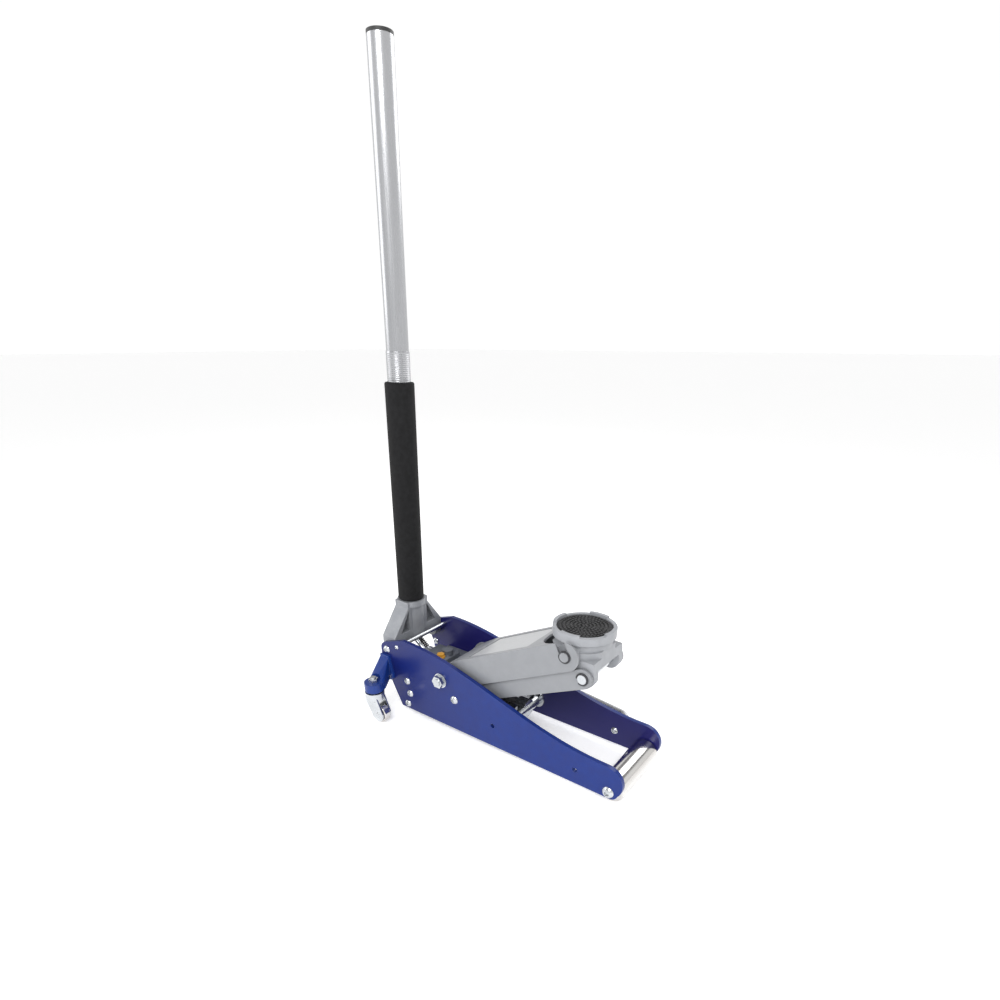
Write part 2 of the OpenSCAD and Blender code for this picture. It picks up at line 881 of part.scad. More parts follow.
module ram_rod() {
    color("silver") cross_x(piston_back + piston_skirt, crosshead_at.x - 4, ram_r);
}

module ram_piston() {
    color("gray") difference() {
        cross_x(piston_back, piston_front, bore_r - run);
        cross_x(piston_back + piston_skirt, piston_front, ram_r);
    }
}

module crosshead() {
    color("silver") difference() {
        union() {
            cross_bar(crosshead_at, crosshead_r, -ram_link_in, ram_link_in);
            cross_bar(crosshead_at, journal_r, -ram_link_out - 2, ram_link_out + 2);
            cross_x(crosshead_at.x - crosshead_back, crosshead_at.x + 6, ram_r + 5);
            both_sides() translate([crosshead_at.x - crosshead_back, spring_y - 4, ram_z])
                cube([crosshead_back, 8, 17]);
        }
        cross_x(crosshead_at.x - crosshead_back, crosshead_at.x - 4, ram_r);
    }
}

module ram_links() {
    eye_r = 15.5;
    slot_r = lever_pin_r + 0.9;
    tail = [lever_pin_at.x - 0.2, ram_z];
    color("silver") both_sides() slab(ram_link_in, ram_link_out) difference() {
        strap(tail, crosshead_at, eye_r, eye_r);
        strap(tail - [0, slot_rise], tail + [0, slot_rise], slot_r, slot_r);
        translate(crosshead_at) circle(journal_r);
    }
}

/* Pump plungers with their caps */

module pump_plungers() {
    color("silver") both_sides() facing_down(pump_foot + cap_start * pump_along, pump_y, pump_tilt) {
        cylinder(h = cap_t, r = cap_r);
        cylinder(h = barrel_start + 18, r = plunger_r);
    }
}

/* Handle socket and handle, drawn about the handle pivot with the handle along +Z */

lug_t = 15;
lug_out = inner - side_gap;
lug_in = lug_out - lug_t;
base_lo = 10;
base_hi = 24;
collar_r = tube_r + 9;
roller_lug_t = 5;
roller_lug_in = pump_y + 11.5;

module in_handle() {
    translate([handle_pivot.x, 0, handle_pivot.y]) rotate([0, handle_lean, 0]) children();
}

// A front view, drawn as [y, z], extruded from x0 to x1
module front_slab(x0, x1) {
    translate([x0, 0, 0]) rotate([90, 0, 90]) linear_extrude(x1 - x0) children();
}

module socket_face() {
    polygon([
        [-lug_out, base_lo],
        [lug_out, base_lo],
        [lug_out, base_hi],
        [collar_r, socket_h - 12],
        [collar_r, socket_h],
        [-collar_r, socket_h],
        [-collar_r, socket_h - 12],
        [-lug_out, base_hi]]);
}

// The two pockets between the middle barrel and the sloping legs
module socket_pockets() {
    leg_w = 12;
    for (s = [-1, 1]) scale([s, 1]) polygon([
        [tube_r + 6, base_hi + 4],
        [lug_out - leg_w - 6, base_hi + 4],
        [collar_r + 1, socket_h - 22],
        [tube_r + 6, socket_h - 16]]);
}

module handle_socket() {
    depth = 17;
    web = 4;
    roller_local = [for (q = [roller_at - handle_pivot]) [
        q.x * cos(handle_lean) - q.y * sin(handle_lean),
        q.x * sin(handle_lean) + q.y * cos(handle_lean)]][0];
    stop_local = stop_rod_at - handle_pivot;
    color("silver") in_handle() difference() {
        union() {
            difference() {
                front_slab(-depth, depth) socket_face();
                front_slab(web, depth) socket_pockets();
                front_slab(-depth, -web) socket_pockets();
            }
            translate([0, 0, base_lo]) cylinder(h = socket_h - base_lo, r = collar_r - 4);
            translate([0, 0, socket_h - 12]) cylinder(h = 12, r = collar_r);
            both_sides() slab(lug_in, lug_out) {
                circle(depth - 1);
                translate([-depth + 1, 0]) square([2 * depth - 2, base_lo + 1]);
            }
            both_sides() slab(roller_lug_in, roller_lug_in + roller_lug_t)
                strap([-6, base_lo + 6], roller_local, 9, 8);
        }
        both_sides() cross_bar([0, 0], socket_bolt_r + run, lug_in, lug_out);
        translate([0, 0, socket_bore_bottom]) cylinder(h = socket_h, r = tube_r + run);
        cylinder(h = socket_h, r = 11 + free_gap);
        cross_bar(roller_local, 4, -60, 60);
        cross_bar([stop_local.x, stop_local.y - 1], stop_rod_r + 1.5, -inner, inner);
        translate([-collar_r, 0, socket_h - 26]) rotate([0, 90, 0]) cylinder(h = collar_r, r = 3);
    }
}

module pump_roller_pin() {
    half = roller_lug_in + roller_lug_t + 1;
    color("silver") cross_bar(roller_at, 4, -half, half);
}

module pump_rollers() {
    color("gray") both_sides() slab(pump_y - 9, pump_y + 9) translate(roller_at) difference() {
        circle(pump_roller_r);
        circle(4);
    }
}

groove_deep = 1.2;

module handle_lock_screw() {
    color("gainsboro") in_handle() translate([-collar_r + 3, 0, socket_h - 26]) rotate([0, -90, 0]) {
        translate([0, 0, 1.5]) button_head(6, 4);
        translate([0, 0, -(collar_r - 3 - tube_r + groove_deep - 0.4)])
            cylinder(h = collar_r - 3 - tube_r + groove_deep - 0.4 + 1.5, r = 3);
    }
}

module handle_lower_tube() {
    color("silver") in_handle() difference() {
        translate([0, 0, socket_bore_bottom + side_gap])
            cylinder(h = sleeve_end + 6 - socket_bore_bottom - side_gap, r = tube_r);
        translate([0, 0, socket_bore_bottom]) cylinder(h = sleeve_end, r = tube_r - tube_wall);
        translate([0, 0, socket_h - 30]) difference() {
            cylinder(h = 8, r = tube_r + 1);
            cylinder(h = 8, r = tube_r - groove_deep);
        }
    }
}

module foam_sleeve() {
    color("black") in_handle() translate([0, 0, socket_h + side_gap]) difference() {
        cylinder(h = sleeve_len - side_gap, r = sleeve_r);
        cylinder(h = sleeve_len, r = tube_r);
    }
}

module joint_collar() {
    color("gainsboro") in_handle() translate([0, 0, sleeve_end]) difference() {
        cylinder(h = collar_len, r = tube_r + 1.2);
        cylinder(h = collar_len, r = tube_r);
    }
}

module handle_upper_tube() {
    color("gainsboro") in_handle() difference() {
        translate([0, 0, sleeve_end + 6]) cylinder(h = upper_len - 6, r = tube_r);
        translate([0, 0, sleeve_end]) cylinder(h = upper_len + 1, r = tube_r - tube_wall);
    }
}

module handle_end_cap() {
    color("dimgray") in_handle() {
        translate([0, 0, upper_end]) cylinder(h = 4, r = tube_r);
        translate([0, 0, upper_end - 14]) cylinder(h = 14, r = tube_r - tube_wall);
    }
}

// Half cup that turns the ball on the release rod, with a shank up into the handle
module release_driver() {
    cup_outer = 10;
    color("gray") in_handle() difference() {
        union() {
            translate([0, 0, 2]) cylinder(h = 12, r = cup_outer);
            translate([0, 0, 12]) cylinder(h = socket_bore_bottom - 10, r = 7);
            translate([0, 0, socket_bore_bottom + 2]) cylinder(h = 10, r = tube_r - tube_wall);
        }
        sphere(ball_r + 2 * run);
    }
}

module release_rod() {
    color("silver") {
        translate([handle_pivot.x, 0, handle_pivot.y]) sphere(ball_r);
        facing_down(handle_pivot, 0, release_tilt) cylinder(h = release_len, r = release_r);
    }
}

side_plate_left();
side_plate_right();
front_roller();
roller_bushes();
front_axle();
axle_screws();
unit_block();
cylinder_tube();
cylinder_gland();
safety_plug();
pump_barrels();
unit_bolts();
arm_pivot_shaft();
arm_pivot_nuts();
pivot_spacers();
link_pivot_bolts();
socket_pivot_bolts();
stop_rod();
stop_rod_screws();
caster_bracket_left();
caster_bracket_right();
plate_screws();
caster_kingpins();
carry_handle();
return_springs();
pump_springs();
caster_fork_left();
caster_fork_right();
caster_axle_left();
caster_axle_right();
caster_wheel_left();
caster_wheel_right();
lift_arm();
arm_lever();
lever_pins();
upper_pins();
upper_pin_clips();
levelling_link();
saddle_bracket();
lower_pin();
lower_pin_clips();
saddle_cup();
saddle_pad();
saddle_clip();
ram_rod();
ram_piston();
crosshead();
ram_links();
pump_plungers();
handle_socket();
pump_roller_pin();
pump_rollers();
handle_lock_screw();
handle_lower_tube();
foam_sleeve();
joint_collar();
handle_upper_tube();
handle_end_cap();
release_driver();
release_rod();
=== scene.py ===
import json
import math

import bpy
import numpy as np
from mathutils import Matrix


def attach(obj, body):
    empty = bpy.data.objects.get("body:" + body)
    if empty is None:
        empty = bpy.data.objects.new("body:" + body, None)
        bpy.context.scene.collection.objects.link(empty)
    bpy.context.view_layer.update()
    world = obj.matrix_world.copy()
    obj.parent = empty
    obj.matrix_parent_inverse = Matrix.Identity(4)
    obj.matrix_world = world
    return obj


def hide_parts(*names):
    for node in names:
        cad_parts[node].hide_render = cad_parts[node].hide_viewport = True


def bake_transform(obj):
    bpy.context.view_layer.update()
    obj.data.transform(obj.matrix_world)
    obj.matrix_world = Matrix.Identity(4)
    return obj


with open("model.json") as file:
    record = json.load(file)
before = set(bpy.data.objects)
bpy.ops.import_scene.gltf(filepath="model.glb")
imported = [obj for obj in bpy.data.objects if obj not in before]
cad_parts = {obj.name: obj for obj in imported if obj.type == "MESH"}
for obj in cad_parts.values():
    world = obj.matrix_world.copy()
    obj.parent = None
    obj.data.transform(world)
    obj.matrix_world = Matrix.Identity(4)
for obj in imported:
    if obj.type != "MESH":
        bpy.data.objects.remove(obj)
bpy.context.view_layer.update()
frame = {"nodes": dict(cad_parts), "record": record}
nodes = frame["nodes"]
print("frame loaded")

mm = 0.001

# points of the CAD part that the new pieces hang on, in metres
handlePivot = np.array([-0.248, 0.0, 0.129])
handleLean = math.radians(1.5)
upperPin = np.array([0.14656, 0.0, 0.23118])
ramHeight = 0.064
pumpTilt = math.radians(38)


def makeMesh(name, verts, faces, smooth=True, smoothAngle=40):
    mesh = bpy.data.meshes.new(name)
    mesh.from_pydata(np.asarray(verts, float).tolist(), [], np.asarray(faces, int).tolist())
    mesh.update()
    if smooth:
        mesh.shade_smooth()
        mesh.set_sharp_from_angle(angle=math.radians(smoothAngle))
    piece = bpy.data.objects.new(name, mesh)
    bpy.context.scene.collection.objects.link(piece)
    return piece


# quads of a rows by columns grid of vertices, wrapped where asked
def gridFaces(rows, columns, closeRows=False, closeColumns=False):
    r = np.arange(rows if closeRows else rows - 1)
    c = np.arange(columns if closeColumns else columns - 1)
    rr, cc = np.meshgrid(r, c, indexing="ij")
    rn, cn = (rr + 1) % rows, (cc + 1) % columns
    low, high = rr * columns, rn * columns
    return np.stack([low + cc, low + cn, high + cn, high + cc], -1).reshape(-1, 4)


# a rotation matrix whose third column is the direction
def basis(direction):
    d = np.asarray(direction, float)
    d = d / np.linalg.norm(d)
    side = np.cross([0.0, 1.0, 0.0], d)
    side = side / np.linalg.norm(side)
    return np.stack([side, np.cross(d, side), d], 1)


# turns a list of [radius, height] in millimetres round the direction: each point becomes a ring
# at its radius times cosine and sine of the angle, and at its height along the direction
def lathe(name, profile, origin, direction, segments=96, closed=True):
    p = np.asarray(profile, float) * mm
    a = np.linspace(0, 2 * math.pi, segments, endpoint=False)
    local = np.stack([
        p[:, 0, None] * np.cos(a)[None],
        p[:, 0, None] * np.sin(a)[None],
        np.repeat(p[:, 1, None], segments, 1)], -1)
    verts = local.reshape(-1, 3) @ basis(direction).T + np.asarray(origin)
    faces = gridFaces(len(p), segments, closeRows=closed, closeColumns=True)
    return makeMesh(name, verts, faces, smoothAngle=35)


# cuts both sides of each corner of a closed list of points and joins the cuts with a
# quadratic curve that the corner pulls on
def roundCorners(points, radius, steps):
    p = np.asarray(points, float)
    before, after = np.roll(p, 1, 0), np.roll(p, -1, 0)
    toBefore, toAfter = before - p, after - p
    lenBefore = np.linalg.norm(toBefore, axis=1, keepdims=True)
    lenAfter = np.linalg.norm(toAfter, axis=1, keepdims=True)
    cut = np.minimum(radius, 0.45 * np.minimum(lenBefore, lenAfter))
    a, b = p + toBefore / lenBefore * cut, p + toAfter / lenAfter * cut
    t = np.linspace(0, 1, steps + 1)[None, :, None]
    curve = (1 - t) ** 2 * a[:, None] + 2 * t * (1 - t) * p[:, None] + t ** 2 * b[:, None]
    return curve.reshape(-1, 2)


# a round wire carried along a helix, whose middle is at radius times cosine and sine of an angle
# that grows evenly with the height; hooks is the length of a straight end on the axis
def coil(name, origin, direction, length, radius, wire, turns, hooks=0.0):
    ring, stepsPerTurn, hookSteps, hookGap = 10, 28, 6, 0.001
    t = np.linspace(0, 1, int(turns * stepsPerTurn))
    angle = 2 * math.pi * turns * t
    centre = np.stack([radius * np.cos(angle), radius * np.sin(angle), length * t], -1)
    if hooks > 0:
        flat = np.zeros(hookSteps)
        low = np.stack([flat, flat, np.linspace(-hooks, -hookGap, hookSteps)], -1)
        high = low[::-1] * [1, 1, -1] + [0, 0, length]
        centre = np.concatenate([low, centre, high])
    tangent = np.gradient(centre, axis=0)
    tangent /= np.linalg.norm(tangent, axis=1, keepdims=True)
    outward = centre * [1, 1, 0]
    outward[np.linalg.norm(outward, axis=1) < 1e-6] = [1, 0, 0]
    outward -= tangent * np.sum(outward * tangent, 1, keepdims=True)
    outward /= np.linalg.norm(outward, axis=1, keepdims=True)
    across = np.cross(tangent, outward)
    a = np.linspace(0, 2 * math.pi, ring, endpoint=False)
    tube = centre[:, None] + wire * (np.cos(a)[None, :, None] * outward[:, None]
        + np.sin(a)[None, :, None] * across[:, None])
    verts = tube.reshape(-1, 3) @ basis(direction).T + np.asarray(origin)
    faces = gridFaces(len(centre), ring, closeColumns=True)[:, ::-1]
    caps = [list(range(ring)), list(range(len(verts) - 1, len(verts) - ring - 1, -1))]
    mesh = bpy.data.meshes.new(name)
    mesh.from_pydata(verts.tolist(), [], faces.tolist() + caps)
    mesh.shade_smooth()
    piece = bpy.data.objects.new(name, mesh)
    bpy.context.scene.collection.objects.link(piece)
    return piece


def newGroup(name, inputs, outputs):
    group = bpy.data.node_groups.new(name, "ShaderNodeTree")
    for label, kind, value in inputs:
        socket = group.interface.new_socket(label, in_out="INPUT", socket_type=kind)
        if value is not None:
            socket.default_value = value
    for label, kind in outputs:
        group.interface.new_socket(label, in_out="OUTPUT", socket_type=kind)
    return group, group.nodes.new("NodeGroupInput"), group.nodes.new("NodeGroupOutput")


def add(tree, kind, **settings):
    node = tree.nodes.new(kind)
    for key, value in settings.items():
        if hasattr(node, key):
            setattr(node, key, value)
        else:
            node.inputs[key].default_value = value
    return node


# edge mask: where the rounded normal turns away from the true one, broken up by noise; it lays the
# lighter edge colour, which is edge wear and, on the blue plates, a painted highlight line
def makeEdgeGroup():
    group, gin, gout = newGroup("softEdge",
        [("Radius", "NodeSocketFloat", 0.0008), ("Wear", "NodeSocketFloat", 0.5)],
        [("Normal", "NodeSocketVector"), ("Mask", "NodeSocketFloat")])
    link = group.links.new
    bevel = add(group, "ShaderNodeBevel", samples=4)
    geometry = add(group, "ShaderNodeNewGeometry")
    dot = add(group, "ShaderNodeVectorMath", operation="DOT_PRODUCT")
    turn = add(group, "ShaderNodeMath", operation="SUBTRACT")
    turn.inputs[0].default_value = 1.0
    coordinate = add(group, "ShaderNodeTexCoord")
    noise = add(group, "ShaderNodeTexNoise", Scale=160.0, Detail=4.0)
    product = add(group, "ShaderNodeMath", operation="MULTIPLY")
    scaled = add(group, "ShaderNodeMath", operation="MULTIPLY", use_clamp=True)
    link(gin.outputs["Radius"], bevel.inputs["Radius"])
    link(bevel.outputs[0], dot.inputs[0])
    link(geometry.outputs["Normal"], dot.inputs[1])
    link(dot.outputs["Value"], turn.inputs[1])
    link(coordinate.outputs["Object"], noise.inputs["Vector"])
    link(turn.outputs[0], product.inputs[0])
    link(noise.outputs["Fac"], product.inputs[1])
    link(product.outputs[0], scaled.inputs[0])
    link(gin.outputs["Wear"], scaled.inputs[1])
    link(bevel.outputs[0], gout.inputs["Normal"])
    link(scaled.outputs[0], gout.inputs["Mask"])
    return group


# grain: two sizes of noise, stretched along the given direction
def makeGrainGroup():
    group, gin, gout = newGroup("grain",
        [("Stretch", "NodeSocketVector", (1, 1, 1)), ("Scale", "NodeSocketFloat", 200.0)],
        [("Fine", "NodeSocketFloat"), ("Coarse", "NodeSocketFloat")])
    link = group.links.new
    coordinate = add(group, "ShaderNodeTexCoord")
    stretch = add(group, "ShaderNodeVectorMath", operation="MULTIPLY")
    fine = add(group, "ShaderNodeTexNoise", Detail=6.0, Roughness=0.6)
    coarse = add(group, "ShaderNodeTexNoise", Detail=4.0, Roughness=0.55)
    larger = add(group, "ShaderNodeMath", operation="MULTIPLY")
    larger.inputs[1].default_value = 0.09
    link(coordinate.outputs["Object"], stretch.inputs[0])
    link(gin.outputs["Stretch"], stretch.inputs[1])
    link(stretch.outputs[0], fine.inputs["Vector"])
    link(stretch.outputs[0], coarse.inputs["Vector"])
    link(gin.outputs["Scale"], fine.inputs["Scale"])
    link(gin.outputs["Scale"], larger.inputs[0])
    link(larger.outputs[0], coarse.inputs["Scale"])
    link(fine.outputs["Fac"], gout.inputs["Fine"])
    link(coarse.outputs["Fac"], gout.inputs["Coarse"])
    return group


edgeGroup = makeEdgeGroup()
grainGroup = makeGrainGroup()
print("node groups made")


def ramp(tree, source, low, high, lowValue, highValue):
    node = add(tree, "ShaderNodeMapRange")
    limits = {"From Min": low, "From Max": high, "To Min": lowValue, "To Max": highValue}
    for label, value in limits.items():
        node.inputs[label].default_value = value
    tree.links.new(source, node.inputs["Value"])
    return node.outputs["Result"]


# the Mix node has one socket of each name for every type
def typedSocket(sockets, name, kind):
    return [s for s in sockets if s.name == name and s.type == kind][0]


def mixColour(tree, factor, first, second):
    node = add(tree, "ShaderNodeMix", data_type="RGBA")
    for label, value in (("A", first), ("B", second)):
        socket = typedSocket(node.inputs, label, "RGBA")
        if isinstance(value, tuple):
            socket.default_value = (*value, 1)
        else:
            tree.links.new(value, socket)
    tree.links.new(factor, typedSocket(node.inputs, "Factor", "VALUE"))
    return typedSocket(node.outputs, "Result", "RGBA")


# the piece's own coordinates, one axis at a time
def splitPlace(tree):
    coordinate = add(tree, "ShaderNodeTexCoord")
    split = add(tree, "ShaderNodeSeparateXYZ")
    tree.links.new(coordinate.outputs["Object"], split.inputs[0])
    return split


# grain in the colour, roughness and height, and lighter edges that are partly edge wear and partly a
# painted highlight line
def makeMaterial(name, look):
    material = bpy.data.materials.new(name)
    material.use_nodes = True
    tree = material.node_tree
    link = tree.links.new
    surface = tree.nodes["Principled BSDF"]
    edge = add(tree, "ShaderNodeGroup", node_tree=edgeGroup,
        Radius=look.get("edge", 0.8) * mm, Wear=look.get("wearAndHighlight", 0.4))
    grain = add(tree, "ShaderNodeGroup", node_tree=grainGroup,
        Scale=look.get("scale", 400.0), Stretch=look.get("stretch", (1, 1, 1)))
    fine, coarse = grain.outputs["Fine"], grain.outputs["Coarse"]
    colour = mixColour(tree, ramp(tree, coarse, 0.35, 0.65, 0, 1), look["colour"], look["second"])
    # painted shade: a darker violet tint that grows from start to end
    if "along" in look:
        axis, start, end, shadeTint = look["along"]
        place = splitPlace(tree).outputs[axis]
        colour = mixColour(tree, ramp(tree, place, start, end, 0, 1), colour, shadeTint)
    # painted shade: a darker tint on the faces at the sideways distance reach, which look at the middle
    # plane, where the plates shade each other
    if "inside" in look:
        reach, shadeTint = look["inside"]
        size = add(tree, "ShaderNodeMath", operation="ABSOLUTE")
        link(splitPlace(tree).outputs["Y"], size.inputs[0])
        near = ramp(tree, size.outputs[0], reach + 0.0012, reach + 0.0002, 0, 1)
        colour = mixColour(tree, near, colour, shadeTint)
    # the lighter edge colour is edge wear, and on the blue plates a painted highlight line
    link(mixColour(tree, edge.outputs["Mask"], colour, look["edgeWearAndHighlight"]), surface.inputs["Base Color"])
    spread = look.get("spread", 0.06)
    rough = look["roughness"]
    smoothest = max(rough - spread, 0.03)
    link(ramp(tree, fine, 0.3, 0.7, smoothest, rough + spread), surface.inputs["Roughness"])
    bump = add(tree, "ShaderNodeBump",
        Strength=look.get("bump", 0.05), Distance=look.get("depth", 0.3) * mm)
    link(fine, bump.inputs["Height"])
    link(edge.outputs["Normal"], bump.inputs["Normal"])
    link(bump.outputs[0], surface.inputs["Normal"])
    surface.inputs["Metallic"].default_value = look.get("metallic", 0.0)
    surface.inputs["Coat Weight"].default_value = look.get("coat", 0.0)
    surface.inputs["Coat Roughness"].default_value = 0.08
    surface.inputs["Specular IOR Level"].default_value = look.get("specular", 0.5)
    return material


looks = {
    "blue_paint": dict(
        # this light edge colour, with the strong wear on the next line, paints a highlight line along
        # the plate edges
        colour=(0.006, 0.027, 0.188), second=(0.007, 0.024, 0.168), edgeWearAndHighlight=(0.13, 0.19, 0.55),
        roughness=0.30, spread=0.03, coat=0.08, specular=0.26, bump=0.012, scale=700.0, wearAndHighlight=2.2,
        # the along tint is painted shade, darker violet towards the rear
        edge=1.2, along=("X", 0.02, -0.24, (0.007, 0.013, 0.112)),
        # the tint on the inner faces is painted shade between the plates
        inside=(0.067, (0.013, 0.012, 0.110))),
    "caster_paint": dict(
        colour=(0.007, 0.036, 0.215), second=(0.009, 0.032, 0.190), edgeWearAndHighlight=(0.10, 0.19, 0.58),
        roughness=0.32, coat=0.15, specular=0.3, bump=0.18, scale=700.0, wearAndHighlight=1.0, edge=1.6),
    "grey_paint": dict(
        colour=(0.246, 0.254, 0.270), second=(0.232, 0.240, 0.255), edgeWearAndHighlight=(0.40, 0.41, 0.43),
        roughness=0.42, spread=0.03, coat=0.1, bump=0.03, scale=700.0, wearAndHighlight=1.0, edge=1.2),
    # panel_paint is the grey paint made lighter: a painted highlight on the arm's top
    "panel_paint": dict(
        colour=(0.425, 0.431, 0.442), second=(0.405, 0.411, 0.422), edgeWearAndHighlight=(0.52, 0.53, 0.54),
        roughness=0.38, coat=0.1, bump=0.05, scale=800.0, edge=0.6),
    "cast_grey": dict(
        colour=(0.17, 0.185, 0.215), second=(0.14, 0.15, 0.175), edgeWearAndHighlight=(0.34, 0.36, 0.40),
        roughness=0.48, bump=0.30, scale=520.0, wearAndHighlight=1.4, edge=1.3, metallic=0.25),
    "saddle_paint": dict(
        colour=(0.330, 0.340, 0.362), second=(0.292, 0.302, 0.322), edgeWearAndHighlight=(0.48, 0.49, 0.52),
        roughness=0.45, bump=0.22, scale=560.0, wearAndHighlight=1.2, edge=1.5),
    "zinc": dict(
        colour=(0.62, 0.64, 0.66), second=(0.52, 0.54, 0.56), edgeWearAndHighlight=(0.78, 0.79, 0.80),
        roughness=0.24, spread=0.04, bump=0.012, scale=300.0, metallic=1.0, edge=0.4, wearAndHighlight=0.3),
    "polished_steel": dict(
        colour=(0.74, 0.73, 0.72), second=(0.55, 0.53, 0.51), edgeWearAndHighlight=(0.85, 0.85, 0.86),
        roughness=0.17, spread=0.06, bump=0.05, scale=500.0, stretch=(1, 0.02, 1), metallic=1.0,
        edge=0.8),
    "dark_steel": dict(
        colour=(0.035, 0.035, 0.038), second=(0.06, 0.06, 0.065), edgeWearAndHighlight=(0.2, 0.2, 0.2),
        roughness=0.38, bump=0.05, metallic=0.7, edge=0.4),
    "cast_aluminium": dict(
        colour=(0.29, 0.30, 0.32), second=(0.24, 0.25, 0.27), edgeWearAndHighlight=(0.50, 0.51, 0.53),
        roughness=0.46, bump=0.30, scale=480.0, metallic=0.3, edge=1.6, wearAndHighlight=1.0),
    "tube_aluminium": dict(
        colour=(0.47, 0.475, 0.49), second=(0.41, 0.415, 0.43), edgeWearAndHighlight=(0.60, 0.60, 0.61),
        roughness=0.26, bump=0.04, scale=500.0, stretch=(1, 1, 0.03), metallic=1.0, edge=0.6),
    "pad_rubber": dict(
        colour=(0.018, 0.018, 0.019), second=(0.035, 0.035, 0.037), edgeWearAndHighlight=(0.12, 0.12, 0.12),
        roughness=0.55, bump=0.25, scale=900.0, edge=0.5, wearAndHighlight=2.0),
    "sleeve_foam": dict(
        colour=(0.005, 0.005, 0.0055), second=(0.009, 0.009, 0.010), edgeWearAndHighlight=(0.015, 0.015, 0.015),
        roughness=0.80, bump=0.35, depth=0.4, scale=1400.0, edge=1.0, specular=0.25),
    "black_plastic": dict(
        colour=(0.02, 0.02, 0.02), second=(0.03, 0.03, 0.03), edgeWearAndHighlight=(0.06, 0.06, 0.06),
        roughness=0.5, bump=0.2, scale=900.0),
    "yellow_plastic": dict(
        colour=(0.72, 0.38, 0.05), second=(0.66, 0.32, 0.04), edgeWearAndHighlight=(0.8, 0.5, 0.15), roughness=0.35,
        bump=0.1, scale=700.0, edge=0.6),
    "spring_steel": dict(
        colour=(0.030, 0.030, 0.034), second=(0.05, 0.05, 0.055), edgeWearAndHighlight=(0.1, 0.1, 0.1),
        roughness=0.30, bump=0.05, metallic=0.6, edge=0.2),
    "bronze": dict(
        colour=(0.42, 0.28, 0.13), second=(0.34, 0.22, 0.10), edgeWearAndHighlight=(0.5, 0.36, 0.2), roughness=0.4,
        bump=0.1, metallic=0.9, edge=0.4),
}
materials = {name: makeMaterial("look_" + name, look) for name, look in looks.items()}
slotOf = {part["node"]: part["material_slot"] for part in frame["record"]["subparts"]}
for nodeName, piece in nodes.items():
    for index in range(len(piece.material_slots)):
        piece.material_slots[index].material = materials[slotOf[nodeName]]
print("materials made")


def dress(piece, slotName):
    piece.data.materials.append(materials[slotName])


# sizes of the new pieces are in millimetres
pad = dict(radius=46.0, clearance=0.05, top=33.0, thickness=9.0, edge=0.6, pole=0.01,
    rings=7, firstRing=0.6, pitch=6.1, twist=0.4,
    blockHeight=2.2, blockSize=4.3, blockGap=1.5, draft=0.35, chamfer=0.4, sunk=0.3)


# a disc turned from its profile, under rings of tapered blocks: each ring is one block turned
# about the pad's middle by equal steps, and each ring starts a twist further round
def makePad():
    base = pad["top"] - pad["thickness"]
    floor = pad["top"] - pad["blockHeight"]
    r, edge, pole = pad["radius"] - pad["clearance"], pad["edge"], pad["pole"]
    profile = [[pole, base], [r, base], [r, floor - edge], [r - edge, floor], [pole, floor]]
    disc = lathe("padDisc", profile, upperPin, [0, 0, 1], closed=False)
    corners = np.array([[-1, -1], [1, -1], [1, 1], [-1, 1]], float)
    foot = pad["blockSize"] / 2
    shoulder = foot - pad["draft"] / 2
    chamfer = pad["chamfer"]
    block = np.concatenate([
        np.c_[corners * foot, np.full(4, floor - pad["sunk"])],
        np.c_[corners * shoulder, np.full(4, pad["top"] - chamfer)],
        np.c_[corners * (shoulder - chamfer), np.full(4, pad["top"])]])
    template = np.concatenate([gridFaces(3, 4, closeColumns=True), [[8, 9, 10, 11]]])
    verts, faces, count = [], [], 0
    for ring in range(pad["rings"]):
        radius = pad["pitch"] * (ring + pad["firstRing"])
        number = max(4, int(2 * math.pi * radius / (pad["blockSize"] + pad["blockGap"])))
        a = 2 * math.pi * np.arange(number) / number + ring * pad["twist"]
        cos, sin = np.cos(a)[:, None], np.sin(a)[:, None]
        out, across = block[None, :, 0] + radius, block[None, :, 1]
        turned = np.stack([
            out * cos - across * sin,
            out * sin + across * cos,
            np.repeat(block[None, :, 2], number, 0)], -1)
        verts.append(turned.reshape(-1, 3) * mm + upperPin)
        first = count + len(block) * np.arange(number)
        faces.append((template[None] + first[:, None, None]).reshape(-1, 4))
        count += len(block) * number
    blocks = makeMesh("padBlocks", np.concatenate(verts), np.concatenate(faces), smooth=False)
    for piece in (disc, blocks):
        dress(piece, "pad_rubber")
        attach(piece, "saddle")
    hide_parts("saddle_pad")


makePad()
print("saddle pad made")

returnSpring = dict(start=-158.0, end=20.1, side=31.0, lift=12.0, hook=8.0, radius=3.3, wire=0.7,
    turns=70)
pumpSpring = dict(end=32.0, side=22.0, drop=18.0, gap=1.0, radius=8.4, wire=1.0, turns=7)


